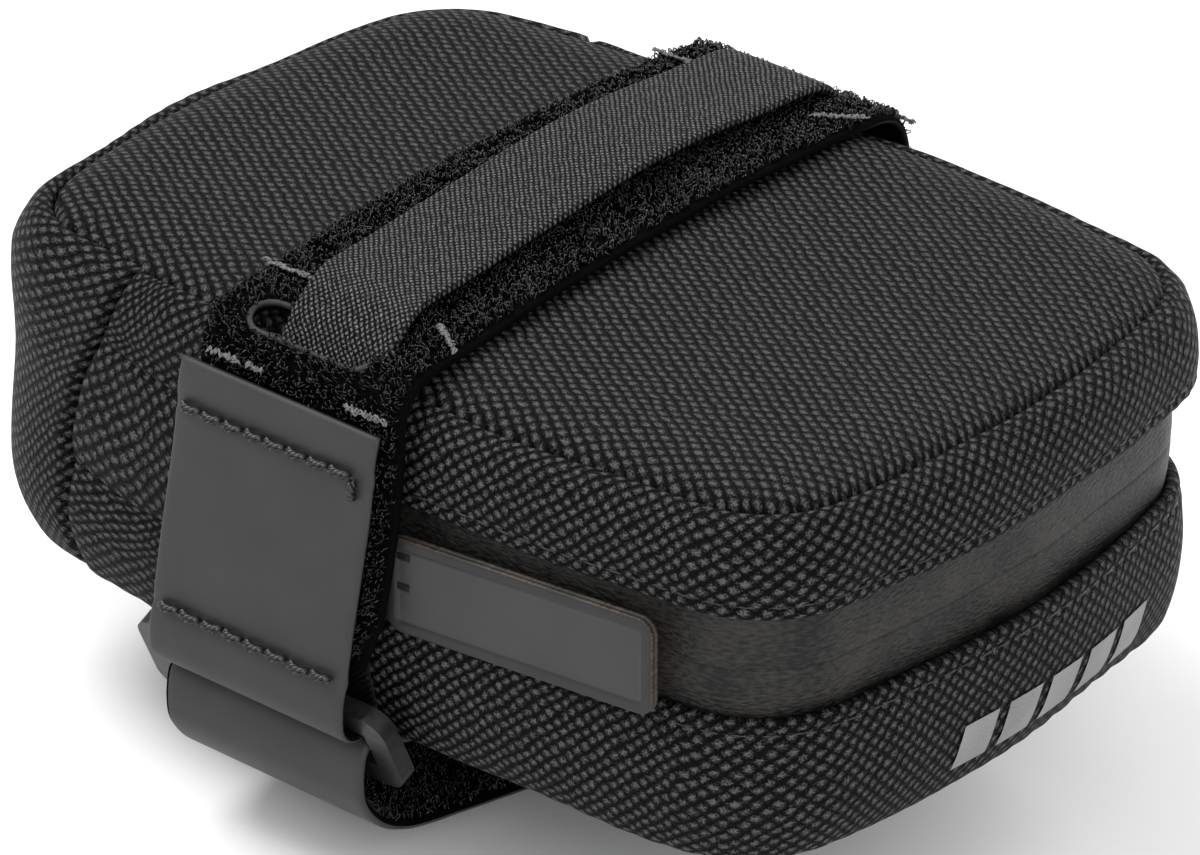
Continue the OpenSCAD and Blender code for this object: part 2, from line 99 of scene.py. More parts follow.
def settle(x, y, z):
    """The swell of the nose, the taper, the waist under the strap and the rear sag."""
    low = np.clip((SEAM_H - z) / 6, 0, 1)
    swell = SWELL * np.clip((NOSE_X - x) / (half_len + NOSE_X), 0, None) ** 2 * low
    waist = WAIST * np.exp(-(((x - STRAP_X) / WAIST_REACH) ** 2)) * np.clip((z - 27.5) / 10, 0, 1)
    sag = REAR_SAG * np.clip(x, 0, None) / half_len * np.clip(1 - z / 12, 0, None)
    return np.stack([x - swell, y * (1 + GROWTH * x / 60) * (1 - waist), z - sag], -1)


def wall(d, off, z):
    x, y = rim(d, off)
    return settle(x, y, z)


def near_d(x):
    return long_r * np.arcsin(x / long_r)


def far_d(x):
    return 2 * quarter - near_d(x)


def stand(points):
    """From the bag's own millimetres to the shared frame in metres."""
    return (np.asarray(points, float) + SHIFT) / 1000


# ---------------------------------------------------------------- lines and grids
def smooth(points, steps=6):
    """A Catmull-Rom line through a few points."""
    p, out = np.array(points, float), []
    n = len(p) - 1
    for k in range(n):
        a, b, c, d = p[max(0, k - 1)], p[k], p[k + 1], p[min(n, k + 2)]
        for s in range(steps):
            t = s / steps
            bend = (2 * a - 5 * b + 4 * c - d) * t * t + (3 * b - a - 3 * c + d) * t**3
            out.append(0.5 * (2 * b + (c - a) * t + bend))
    out.append(p[n])
    return np.array(out)


def run_of(line):
    return np.concatenate([[0], np.cumsum(np.linalg.norm(np.diff(line, axis=0), axis=1))])


def even(line, step):
    """The same line with evenly spaced points."""
    run = run_of(line)
    at = np.linspace(0, run[-1], max(3, int(run[-1] / step) + 1))
    return np.stack([np.interp(at, run, line[:, i]) for i in range(line.shape[1])], 1)


def left_of(line):
    t = np.gradient(line, axis=0)
    side = np.stack([-t[:, 1], t[:, 0]], 1)
    return side / np.linalg.norm(side, axis=1)[:, None]


def skin(outer, thick):
    """A closed loop round a line of cloth, with round ends, and the way along the cloth."""
    side, run = left_of(outer), run_of(outer)
    inner = outer - side * thick
    ahead = np.stack([side[:, 1], -side[:, 0]], 1)
    turns = np.radians([45, 90, 135])
    end = [
        (outer[-1] + inner[-1]) / 2 + thick / 2 * (math.cos(a) * side[-1] + math.sin(a) * ahead[-1])
        for a in turns
    ]
    start = [
        (outer[0] + inner[0]) / 2 - thick / 2 * (math.cos(a) * side[0] + math.sin(a) * ahead[0])
        for a in turns
    ]
    loop = np.concatenate([outer, end, inner[::-1], start])
    way = np.concatenate([run, [run[-1]] * 3, run[::-1], [0] * 3])
    return loop, way


def make_object(name, verts, faces, thread, materials, face_material=None):
    mesh = bpy.data.meshes.new(name)
    mesh.from_pydata(verts.tolist(), [], faces)
    bm = bmesh.new()
    bm.from_mesh(mesh)
    bmesh.ops.recalc_face_normals(bm, faces=bm.faces)
    bm.to_mesh(mesh)
    bm.free()
    mesh.polygons.foreach_set("use_smooth", [True] * len(mesh.polygons))
    if thread is not None:
        t = np.zeros((len(verts), 3), np.float32)
        t[:, : thread.shape[1]] = thread
        attribute = mesh.attributes.new("thread", "FLOAT_VECTOR", "POINT")
        attribute.data.foreach_set("vector", t.ravel())
    for m in materials:
        mesh.materials.append(m)
    if face_material is not None:
        mesh.polygons.foreach_set("material_index", face_material)
    obj = bpy.data.objects.new(name, mesh)
    bpy.context.collection.objects.link(obj)
    return obj


def grid_faces(n, m, ring_n, ring_m, base=0):
    faces = []
    for i in range(n if ring_n else n - 1):
        a, b = base + i * m, base + (i + 1) % n * m
        for j in range(m if ring_m else m - 1):
            k = (j + 1) % m
            faces.append((a + j, b + j, b + k, a + k))
    return faces


def wave(points, size, amount, seed=0.0):
    """Smooth noise at each point, in millimetres."""
    flat = points.reshape(-1, points.shape[-1])
    out = np.empty(len(flat))
    for i, p in enumerate(flat):
        z = p[2] if len(p) > 2 else 0.0
        out[i] = noise.noise((p[0] / size + seed, p[1] / size - seed, z / size + 2 * seed))
    return out.reshape(points.shape[:-1]) * amount


def band(name, line, thick, start, end, materials, alter=None, step=1.0):
    """Cloth swept along the outline from start to end, its section a smooth line."""
    loop, way = skin(even(smooth(line), SECTION_STEP), thick)
    d = np.linspace(start, end, int((end - start) / step) + 1)
    along, off = np.meshgrid(d, loop[:, 0], indexing="ij")
    z = np.broadcast_to(loop[:, 1], along.shape).copy()
    thread = np.stack([along, np.broadcast_to(way, along.shape)], -1).reshape(-1, 2)
    if alter is not None:
        along, off, z = alter(along, off, z)
    points = wall(along, off, z)
    n, m = along.shape
    faces = grid_faces(n, m, False, True)
    faces += [tuple(range(m)), tuple(range((n - 1) * m, n * m))]
    return make_object(name, stand(points).reshape(-1, 3), faces, thread, materials)


def dome(name, rows, materials, rise=None, step=1.2):
    """Cloth across the outline: each row is offset, height and scale, and the first and the
    last row are closed."""
    rows = np.array(rows, float)
    d = np.linspace(0, 4 * quarter, int(4 * quarter / step), endpoint=False)
    off, around = np.meshgrid(rows[:, 0], d, indexing="ij")
    points = wall(around, off, np.broadcast_to(rows[:, 1:2], off.shape))
    points[..., 0] *= rows[:, 2:3]
    points[..., 1] *= rows[:, 2:3]
    if rise is not None:
        points[..., 2] += rise(points)
    n, m = off.shape
    faces = grid_faces(n, m, False, True)
    faces += [tuple(range(m)), tuple(range((n - 1) * m, n * m))]
    thread = points.reshape(-1, 3)[:, :2]
    return make_object(name, stand(points).reshape(-1, 3), faces, thread, materials)


def strap(name, line, thick, x, width, materials, step=0.9, across=1.0, lift=None):
    """A flat strap: its centre line across the bag and up, and its width along the bag. The
    first material is on the left of the line and the second, if there is one, on the right."""
    line = even(smooth(line), step)
    side, run = left_of(line), run_of(line)
    cells = int(width / across)
    places = np.linspace(-width / 2 + thick / 2, width / 2 - thick / 2, cells + 1)
    turns = np.radians([45, 90, 135])
    loop_x = np.concatenate(
        [places, places[-1] + thick / 2 * np.sin(turns), places[::-1],
         places[0] - thick / 2 * np.sin(turns)]
    )
    loop_t = np.concatenate(
        [np.ones(cells + 1), np.cos(turns), -np.ones(cells + 1), -np.cos(turns)]
    ) * (thick / 2)
    n, m = len(line), len(loop_x)
    xs = np.broadcast_to(x + loop_x, (n, m))
    t = np.broadcast_to(loop_t, (n, m)).copy()
    if lift is not None:
        t += lift(np.broadcast_to(run[:, None], (n, m)), xs - x)
    points = np.stack(
        [xs, line[:, :1] + side[:, :1] * t, line[:, 1:] + side[:, 1:] * t], -1
    )
    thread = np.stack([xs, np.broadcast_to(run[:, None], (n, m))], -1).reshape(-1, 2)
    faces = grid_faces(n, m, False, True)
    kind = [int(cells + 1 < j < 2 * cells + 4) for _ in range(n - 1) for j in range(m)]
    faces += [tuple(range(m)), tuple(range((n - 1) * m, n * m))]
    kind = [min(k, len(materials) - 1) for k in kind + [0, 0]]
    return make_object(name, stand(points).reshape(-1, 3), faces, thread, materials, kind)


def tubes(name, paths, radius, materials, sides=5):
    """Thread along each path, given in the bag's own millimetres."""
    verts, faces = [], []
    angles = np.linspace(0, 2 * math.pi, sides, endpoint=False)
    for path in paths:
        p = np.array(path, float)
        t = np.gradient(p, axis=0)
        t /= np.linalg.norm(t, axis=1)[:, None] + 1e-9
        ref = np.array([0.31, 0.22, 0.92])
        a = np.cross(t, ref)
        a /= np.linalg.norm(a, axis=1)[:, None] + 1e-9
        b = np.cross(t, a)
        r = np.full(len(p), radius)
        r[0] *= 0.4
        r[-1] *= 0.4
        ring = (
            p[:, None]
            + r[:, None, None] * (a[:, None] * np.cos(angles)[None, :, None])
            + r[:, None, None] * (b[:, None] * np.sin(angles)[None, :, None])
        )
        base = sum(len(v) for v in verts)
        verts.append(ring.reshape(-1, 3))
        n = len(p)
        faces += grid_faces(n, sides, False, True, base)
        faces.append(tuple(range(base, base + sides)))
        faces.append(tuple(range(base + (n - 1) * sides, base + n * sides)))
    return make_object(name, stand(np.concatenate(verts)), faces, None, materials)


def twisted(start, end, up, bow, radius, plies=2, turns=1.6, steps=9):
    """The plies of one stitch: an arch from start to end that bows up."""
    start, end, up = (np.array(v, float) for v in (start, end, up))
    ahead = end - start
    side = np.cross(ahead, up)
    side /= np.linalg.norm(side)
    t = np.linspace(0, 1, steps)[:, None]
    core = start + ahead * t + up * (bow * np.sin(math.pi * t))
    out = []
    for k in range(plies):
        a = 2 * math.pi * (turns * t + k / plies)
        out.append(core + radius * 0.8 * (side * np.cos(a) + up * np.sin(a)))
    return out


def pile(name, roots, ups, rng, materials, height=1.0, width=0.8, radius=0.095):
    """Curled loops of pile standing on a face."""
    count, steps, sides = len(roots), 6, 3
    lean = rng.normal(size=(count, 3))
    lean -= ups * np.sum(lean * ups, 1)[:, None]
    lean /= np.linalg.norm(lean, axis=1)[:, None]
    side = np.cross(ups, lean)
    tall = height * rng.uniform(0.55, 1.15, count)[:, None]
    wide = width * rng.uniform(0.5, 1.3, count)[:, None]
    slant = rng.normal(0, 0.35, count)[:, None]
    t = np.linspace(0, 1, steps)
    arch = [
        roots + lean * wide * (x - 0.5) + ups * tall * math.sin(math.pi * x)
        + side * (slant * tall * math.sin(math.pi * x) + 0.25 * wide * math.sin(2 * math.pi * x))
        for x in t
    ]
    path = np.stack(arch, 1)
    along = np.gradient(path, axis=1)
    along /= np.linalg.norm(along, axis=2)[..., None]
    a = np.cross(along, side[:, None])
    a /= np.linalg.norm(a, axis=2)[..., None] + 1e-9
    b = np.cross(along, a)
    angles = np.linspace(0, 2 * math.pi, sides, endpoint=False)
    thin = radius * rng.uniform(0.7, 1.25, count)[:, None, None, None]
    ring = path[:, :, None] + thin * (
        a[:, :, None] * np.cos(angles)[None, None, :, None]
        + b[:, :, None] * np.sin(angles)[None, None, :, None]
    )
    faces = []
    for c in range(count):
        faces += grid_faces(steps, sides, False, True, c * steps * sides)
    return make_object(name, stand(ring).reshape(-1, 3), faces, None, materials)


# ---------------------------------------------------------------- materials
class Signal:
    """A number that varies over a surface, built of Math nodes."""

    def __init__(self, tree, socket):
        self.tree, self.socket = tree, socket

    def op(self, kind, *others):
        node = self.tree.nodes.new("ShaderNodeMath")
        node.operation = kind
        for i, value in enumerate((self, *others)):
            if isinstance(value, Signal):
                self.tree.links.new(value.socket, node.inputs[i])
            else:
                node.inputs[i].default_value = value
        return Signal(self.tree, node.outputs[0])

    def __add__(self, other):
        return self.op("ADD", other)

    def __sub__(self, other):
        return self.op("SUBTRACT", other)

    def __mul__(self, other):
        return self.op("MULTIPLY", other)


def new_material(name, roughness, metallic=0.0, specular=0.5):
    material = bpy.data.materials.new(name)
    material.use_nodes = True
    shader = material.node_tree.nodes["Principled BSDF"]
    shader.inputs["Roughness"].default_value = roughness
    shader.inputs["Metallic"].default_value = metallic
    shader.inputs["Specular IOR Level"].default_value = specular
    return material, material.node_tree, shader


def thread_axes(tree):
    """The way across and along the cloth in millimetres."""
    source = tree.nodes.new("ShaderNodeAttribute")
    source.attribute_name = "thread"
    split = tree.nodes.new("ShaderNodeSeparateXYZ")
    tree.links.new(source.outputs["Vector"], split.inputs[0])
    return source.outputs["Vector"], Signal(tree, split.outputs[0]), Signal(tree, split.outputs[1])


def object_place(tree):
    source = tree.nodes.new("ShaderNodeTexCoord")
    return source.outputs["Object"]


def noise_signal(tree, vector, scale, detail=2.0, stretch=None):
    if stretch is not None:
        mapping = tree.nodes.new("ShaderNodeMapping")
        mapping.inputs["Scale"].default_value = stretch
        tree.links.new(vector, mapping.inputs["Vector"])
        vector = mapping.outputs[0]
    node = tree.nodes.new("ShaderNodeTexNoise")
    node.inputs["Scale"].default_value = scale
    node.inputs["Detail"].default_value = detail
    tree.links.new(vector, node.inputs["Vector"])
    return Signal(tree, node.outputs[0])


def colour_from(tree, shader, factor, stops):
    ramp = tree.nodes.new("ShaderNodeValToRGB")
    elements = ramp.color_ramp.elements
    while len(elements) < len(stops):
        elements.new(0.5)
    for element, (place, rgb) in zip(elements, stops):
        element.position = place
        element.color = (*rgb, 1)
    tree.links.new(factor.socket, ramp.inputs[0])
    tree.links.new(ramp.outputs[0], shader.inputs["Base Color"])


def bump_from(tree, shader, height, depth_mm):
    bump = tree.nodes.new("ShaderNodeBump")
    bump.inputs["Distance"].default_value = depth_mm / 1000
    bump.inputs["Strength"].default_value = 1.0
    tree.links.new(height.socket, bump.inputs["Height"])
    tree.links.new(bump.outputs[0], shader.inputs["Normal"])


# The first share sets how far a yarn's height lightens its colour: painted highlight on the crowns
# and painted shade in the gaps.
CROWN_HIGHLIGHT_SHARE, FIBRE_SHARE, UNEVEN_SHARE = 0.85, 1.9, 0.5
DRIFT_SCALE, FIBRE_SCALE, UNEVEN_SCALE = 0.35, 4.2, 0.9


def woven(name, pitch, dark, light, rib=0.4, depth=0.28, jitter=0.2):
    """Cloth of one raised thread grain to every second cell, lined up in slanting ribs. The colour
    is lighter on the raised crowns, a painted highlight, and darker in the gaps, painted shade.
    """
    material, tree, shader = new_material(name, 0.6, specular=0.06)
    vector, across, along = thread_axes(tree)
    drift = noise_signal(tree, vector, DRIFT_SCALE)
    u = across * (1 / pitch[0]) + drift * 0.9 + noise_signal(tree, vector, 1.1) * jitter
    v = along * (1 / pitch[1]) + drift * 0.7 + noise_signal(tree, vector, 1.7) * jitter
    ribs = ((u + v) * (math.pi / 2)).op("COSINE").op("ABSOLUTE")
    cross = ((u - v) * (math.pi / 2)).op("COSINE").op("ABSOLUTE")
    height = ribs * (cross * (1 - rib) + rib)
    fibre = noise_signal(tree, vector, FIBRE_SCALE, detail=3.0)
    uneven = noise_signal(tree, vector, UNEVEN_SCALE)
    # the yarn's height paints a highlight on its crowns and shade in its gaps; the fibre and uneven
    # noise vary the tone at random
    level = height * CROWN_HIGHLIGHT_SHARE + (fibre - 0.5) * FIBRE_SHARE + (uneven - 0.5) * UNEVEN_SHARE
    middle = tuple(0.2 * a + 0.8 * b for a, b in zip(light, dark))
    colour_from(tree, shader, level, [(0.25, dark), (0.55, middle), (0.95, light)])
    bump_from(tree, shader, height + fibre * 0.3, depth)
    return material


def grained(name, dark, light, roughness, scale, stretch=None, depth=0.05, specular=0.4,
            detail=3.0):
    """A coated or brushed face with a fine grain."""
    material, tree, shader = new_material(name, roughness, specular=specular)
    vector, _, _ = thread_axes(tree)
    grain = noise_signal(tree, vector, scale, detail=detail, stretch=stretch)
    patch = noise_signal(tree, vector, 0.12)
    colour_from(tree, shader, grain * 0.6 + patch * 0.4, [(0.41, dark), (0.59, light)])
    bump_from(tree, shader, grain, depth)
    return material


def solid_grain(name, dark, light, roughness, scale, depth=0.03, metallic=0.0, specular=0.5):
    """The same for pieces without cloth coordinates: the grain is in the object's space."""
    material, tree, shader = new_material(name, roughness, metallic, specular)
    grain = noise_signal(tree, object_place(tree), scale, detail=4.0)
    colour_from(tree, shader, grain, [(0.3, dark), (0.7, light)])
    bump_from(tree, shader, grain, depth)
    return material


def grey(level, warm=0.0):
    """A grey of that level: warm above 0 is browner, and below 0 bluer."""
    return (level * (1 + max(warm, 0)), level, level * (1 - warm))


M_TOP = woven("woven_top", (1.22, 0.82), grey(0.0005), grey(0.08, -0.05), rib=0.35)
M_SIDE = woven("woven_side", (1.02, 0.94), grey(0.0005), grey(0.086, -0.05), rib=0.25,
               jitter=0.5)
M_TAPE = grained("tape_film", grey(0.002, 0.08), grey(0.022, 0.08), 0.5, 1.0,
                 stretch=(0.9, 2.4, 1.0), depth=0.3, specular=0.25)
M_COAT = grained("coated_face", grey(0.023, -0.03), grey(0.03, -0.03), 0.55, 9.0, depth=0.02,
                 specular=0.3)
M_BACK = woven("strap_back", (0.5, 0.5), grey(0.001), grey(0.012), depth=0.1)
M_WEB = woven("wing_webbing", (0.44, 0.5), grey(0.0005), grey(0.15), depth=0.16, rib=0.25,
              jitter=0.05)
M_FELT = grained("pile_ground", grey(0.0004), grey(0.003), 0.95, 4.0, depth=0.25, detail=5.0,
                 specular=0.02)
M_PILE = solid_grain("pile_fibre", grey(0.0005), grey(0.004), 0.24, 900.0, depth=0.01,
                     specular=0.45)
M_LINING = woven("lining_taffeta", (0.4, 0.4), grey(0.03), grey(0.1), depth=0.06)
M_BIND = woven("binding_rib", (0.9, 0.5), grey(0.006), grey(0.04), depth=0.12)
M_THREAD = solid_grain("thread_dark", grey(0.001), grey(0.014), 0.42, 2500.0, depth=0.03)
M_LIGHT = solid_grain("thread_light", grey(0.04), grey(0.18, -0.06), 0.6, 2500.0, depth=0.03)
M_METAL = solid_grain("ring_finish", grey(0.012), grey(0.03), 0.4, 700.0, metallic=0.5)
M_RUBBER = grained("pull_face", grey(0.034, -0.02), grey(0.041, -0.02), 0.5, 6.0, depth=0.015,
                   specular=0.25)
M_RUBBER_DARK = grained("pull_border", grey(0.02, -0.02), grey(0.025, -0.02), 0.5, 6.0,
                        depth=0.015, specular=0.25)
M_RUBBER_EDGE = grained("pull_edge", grey(0.012, 0.25), grey(0.05, 0.3), 0.6, 3.0, depth=0.05)
M_PRINT = grained("print_film", grey(0.17), grey(0.24), 0.5, 5.0, depth=0.04, specular=0.3)
M_COIL = solid_grain("coil_nylon", grey(0.008), grey(0.02), 0.35, 900.0)
M_BOARD = solid_grain("board_face", grey(0.05), grey(0.08), 0.6, 500.0)
M_SLOT_EDGE = solid_grain("cut_edge", grey(0.004, 0.15), grey(0.022, 0.2), 0.7, 900.0)


# ---------------------------------------------------------------- seams of the bag
def bump_at(distance, size):
    return np.exp(-((distance / size) ** 2))


def seam_x(z):
    """Where the nose seam is at each height: it leans forward on its way down."""
    return np.interp(z, [2, 10, 16.4, 21.5, 29.6, 38.2, 46.9],
                     [-46.3, -47.3, -46.9, -46.7, -44.5, -40.6, -37.8])


def lean_seam(d, z, reach):
    """Moves the stations next to the nose seam on to its leaning line."""
    near, far = near_d(NOSE_X), far_d(NOSE_X)
    move = near_d(seam_x(z)) - near
    d0 = np.where(d > 3 * quarter, d - 4 * quarter, d)
    w_near = np.clip(1 - np.abs(d0 - near) / reach, 0, 1)
    w_far = np.clip(1 - np.abs(d - far) / reach, 0, 1)
    ease_near, ease_far = w_near**2 * (3 - 2 * w_near), w_far**2 * (3 - 2 * w_far)
    return d + ease_near * move - ease_far * move


def seam_dip(d, size=0.75, depth=1.3):
    """How far the cloth rolls in towards the nose seam."""
    d0 = np.where(d > 3 * quarter, d - 4 * quarter, d)
    gap = np.minimum(np.abs(d0 - near_d(NOSE_X)), np.abs(d - far_d(NOSE_X)))
    return depth * bump_at(gap, size)


def pucker(d, seed):
    ripple = np.sin(2 * math.pi * d / 4.3 + 3 * np.sin(d / 17 + seed))
    return ripple * (0.6 + 0.4 * np.sin(d / 11 + 2 * seed))


def x_of(d):
    return rim(d, 0.0 * d)[0]


def hem_at(d):
    return np.interp(x_of(d), [-46, -32.5, -24, -17], [37.2, 35.6, 34.6, HEM_H])


def sill_at(d):
    return np.interp(x_of(d), [-46.4, -33.5, -26, -17], [18.4, 16.3, 16.6, SILL_H])


STITCH_UP, STITCH_DOWN, LEAN_REACH, SEAM_GAP = 2.0, 1.6, 14, 0.15


def shape_upper(d, off, z):
    share = np.clip((SEAM_H - 6 - z) / (SEAM_H - 6 - HEM_H), 0, 1)
    z = z + share * (hem_at(d) - HEM_H)
    spot = np.stack([d, off * 3, z], -1)
    off = off + wave(spot, 16, 0.7, 1.0) + 0.12 * pucker(d, 0.5) * bump_at(z - 45, 1.6)
    off = off - 0.32 * bump_at(z - hem_at(d) - STITCH_UP, 0.5)
    off = off + 0.1 * pucker(d * 1.4, 2.0) * bump_at(z - hem_at(d), 2.5) - seam_dip(d)
    return lean_seam(d, z, LEAN_REACH), off, z


def shape_lower(d, off, z):
    share = np.clip((z - 9) / (SILL_H - 9), 0, 1)
    z = z + share * (sill_at(d) - SILL_H)
    spot = np.stack([d, off * 3, z], -1)
    off = off + wave(spot, 18, 0.9, 4.0) + 0.14 * pucker(d, 1.7) * bump_at(z - 1.5, 2.0)
    off = off - 0.3 * bump_at(z - sill_at(d) + STITCH_DOWN, 0.5)
    off = off + 0.1 * pucker(d * 1.4, 3.0) * bump_at(z - sill_at(d), 2.0) - seam_dip(d)
    return lean_seam(d, z, LEAN_REACH), off, z


def shape_nose(d, off, z):
    spot = np.stack([d, off * 3, z], -1)
    off = off + wave(spot, 20, 1.3, 7.0) + 0.12 * pucker(d, 2.5) * bump_at(z - 45, 1.6)
    off = off - seam_dip(d)
    return lean_seam(d, z, LEAN_REACH), off, z


def shape_tape(d, off, z):
    spot = np.stack([d, off * 3, z], -1)
    return d, off + wave(spot, 14, 0.3, 9.0), z


def shape_tab(d, off, z):
    mid, half = (HEM_H + SILL_H) / 2, (HEM_H - SILL_H) / 2
    low, high = sill_at(d), hem_at(d)
    z = (low + high) / 2 + (z - mid) / half * (high - low) / 2
    off = off + wave(np.stack([d, off * 3, z], -1), 9, 0.7, 12.0) - seam_dip(d)
    return lean_seam(d, z, LEAN_REACH), off, z


# Sections as offset and height: the roll up into the top seam, and down into the bottom one.
TOP_ROLL = [[-1.2, 44.9], [-1.0, 45.9], [-0.45, 46.5], [0.35, 46.5], [1.3, 45.9], [2.5, 44.3]]
FOOT_ROLL = [[1.8, 2.2], [0.2, 0.6], [-1.2, 0.2], [-2.2, 0.9]]


def body_cloth():
    upper = TOP_ROLL + [[3.5, 41.2], [3.9, 38.1], [3.95, 36.2], [3.8, 35.1], [3.4, 34.6]]
    start, end = near_d(NOSE_X + SEAM_GAP), far_d(NOSE_X + SEAM_GAP)
    gusset = band("upper_gusset_cloth", upper, 1.5, start, end, [M_SIDE], shape_upper)
    lower = [[2.3, 20.1], [2.9, 19.7], [3.25, 18.4], [3.55, 16], [3.9, 11.5], [3.4, 6.5]]
    skirt = band("lower_gusset_cloth", lower + FOOT_ROLL, 1.4, start, end, [M_SIDE], shape_lower)
    middle = [[3.6, 41.1], [4.0, 36], [3.9, 30], [3.8, 24], [4.1, 12], [3.5, 6.3]]
    nose = TOP_ROLL + middle + FOOT_ROLL
    front = band("nose_panel_cloth", nose, 1.5, far_d(NOSE_X - SEAM_GAP),
                 4 * quarter + near_d(NOSE_X - SEAM_GAP), [M_SIDE], shape_nose)
    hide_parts("upper_gusset_near", "upper_gusset_far", "upper_gusset_rear")
    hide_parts("lower_gusset")
    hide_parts("nose_panel")
    return gusset, skirt, front


def top_rise(points):
    return wave(points * [1, 1, 0], 26, 0.5, 3.0) * np.clip((points[..., 2] - 46.5) / 2, 0, 1)


def top_cloth():
    edge = smooth([[-0.75, 44.9], [-0.85, 46.0], [-1.5, 47.0], [-2.8, 47.75], [-5, 48.4],
                   [-7.5, 48.85], [-10, 49.1]], 3)
    rows = [[off, z, 1.0] for off, z in edge]
    rows += [[-10, 49.1 + 0.5 * (1 - s * s), s] for s in np.linspace(0.96, 0.03, 26)]
    under = [[off - 0.9, z - 1.1, s] for off, z, s in rows if off < -0.9]
    panel = dome("top_panel_cloth", under[::-1] + rows, [M_TOP], top_rise)
    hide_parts("top_panel_front", "top_panel_rear")
    return panel


def bottom_cloth():
    rows = [[-2.2, 0.5, 0.03], [-2.2, 0.35, 0.5], [-2.2, 0.2, 0.9], [-2.2, 0.15, 1.0],
            [-1.7, 0.6, 1.0], [-1.7, 1.3, 1.0], [-2.2, 1.55, 1.0], [-2.2, 1.6, 0.5],
            [-2.2, 1.6, 0.03]]
    panel = dome("bottom_panel_cloth", rows, [M_SIDE])
    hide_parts("bottom_panel")
    return panel


def inner_cloth():
    pad_rows = [[-4.2, 44.1, 0.03], [-4.2, 44.1, 0.6], [-4.2, 44.2, 0.97], [-4.2, 44.6, 1.0],
                [-4.1, 45.4, 1.0], [-4.8, 46.1, 1.0], [-8, 46.6, 0.95], [-9, 47.1, 0.6],
                [-9, 47.2, 0.03]]
    pad = dome("top_lining_pad", pad_rows, [M_LINING])
    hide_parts("top_foam_front", "top_foam_rear")
    bowl = [[-5, 3.7, 0.03], [-5, 3.7, 0.6], [-5, 3.7, 1], [-2.6, 4.6, 1], [0.2, 7.4, 1],
            [0.8, 9.5, 1], [1.1, 12, 1], [0.7, 15.5, 1], [0.45, 16.6, 1], [0.15, 16.6, 1],
            [0.3, 15, 1], [0.6, 12, 1], [0.3, 9.4, 1], [-0.3, 7.9, 1], [-2.9, 5.2, 1],
            [-5, 4.2, 1], [-5, 4.1, 0.6], [-5, 4.1, 0.03]]
    lining = dome("bag_lining", bowl, [M_LINING])
    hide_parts("lower_lining")
    top_bind = band("seam_binding_top", [[-0.95, 43.4], [-0.8, 42.2], [-0.9, 40.9]], 0.8,
                    0, 4 * quarter - 0.2, [M_BIND], step=2)
    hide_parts("top_binding_front", "top_binding_rear")
    low_bind = band("seam_binding_bottom", [[-0.6, 5.3], [-0.9, 4.4], [-1.7, 3.5]], 0.7,
                    0, 4 * quarter - 0.2, [M_BIND], step=2)
    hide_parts("bottom_binding")
    return pad, lining, top_bind, low_bind


# ---------------------------------------------------------------- zip
LIP = 0.2


def zip_cloth():
    a, b = near_d(-20.5), far_d(-20.5)
    upper = band("zip_tape_upper_cloth",
                 [[0.3, 38.6], [0.6, 36], [0.95, 33.5], [1.2, 30.5], [1.3, 28], [1.25, ZIP_H + LIP]],
                 0.7, a, b, [M_TAPE], shape_tape)
    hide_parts("zip_tape_upper", "zip_tape_upper_ends")
    lower = band("zip_tape_lower_cloth",
                 [[1.25, ZIP_H - LIP], [1.25, 24.6], [1.1, 22], [0.85, 19.8], [0.5, 18]],
                 0.7, a, b, [M_TAPE], shape_tape)
    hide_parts("zip_tape_lower")
    tab = [[3.2, 34.6], [3.6, 33.2], [3.8, 30], [3.9, 27], [3.8, 23.5], [3.6, 21], [3.2, 19.9]]
    near = band("zip_end_tab_near_cloth", tab, 1.4, near_d(NOSE_X + SEAM_GAP), near_d(-20),
                [M_SIDE], shape_tab)
    far = band("zip_end_tab_far_cloth", tab, 1.4, far_d(-20), far_d(NOSE_X + SEAM_GAP),
               [M_SIDE], shape_tab)
    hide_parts("zip_end_tab_near")
    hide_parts("zip_end_tab_far")
    return upper, lower, near, far


def coil_path(z, start, end, pitch=1.15):
    d = np.arange(start, end, pitch / 8)
    a = 2 * math.pi * (d - start) / pitch
    return wall(d, -0.65 + 0.5 * np.cos(a), z + 0.55 * np.sin(a))


def zip_coils():
    upper = tubes("zip_coil_upper_turns", [coil_path(ZIP_H + 1.25, near_d(9.3), far_d(9.3))],
                  0.2, [M_COIL], 4)
    lower = tubes("zip_coil_lower_turns", [coil_path(ZIP_H - 1.25, near_d(-9.5), far_d(-9.5))],
                  0.2, [M_COIL], 4)
    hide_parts("zip_coil_upper")
    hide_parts("zip_coil_lower")
    return upper, lower


# ---------------------------------------------------------------- pull tab
PULL_LEN, PULL_START, PULL_H, LINK = 38.6, -0.2, 12.8, (9.6, -51.2, 26.3)
PULL_CORNER, PULL_DROP, FIELD_SINK = 2.2, 7, 0.24


def round_rect(length, height, r, inset, points=7):
    out = []
    r = max(0.3, r - inset)
    for cx, cz, a0 in ((1, 1, 0), (0, 1, 90), (0, 0, 180), (1, 0, 270)):
        x = length - inset - r if cx else inset + r
        z = height - inset - r if cz else inset + r
        for a in np.radians(np.linspace(a0, a0 + 90, points)):
            out.append((x + r * math.cos(a), z + r * math.sin(a)))
    return np.array(out)


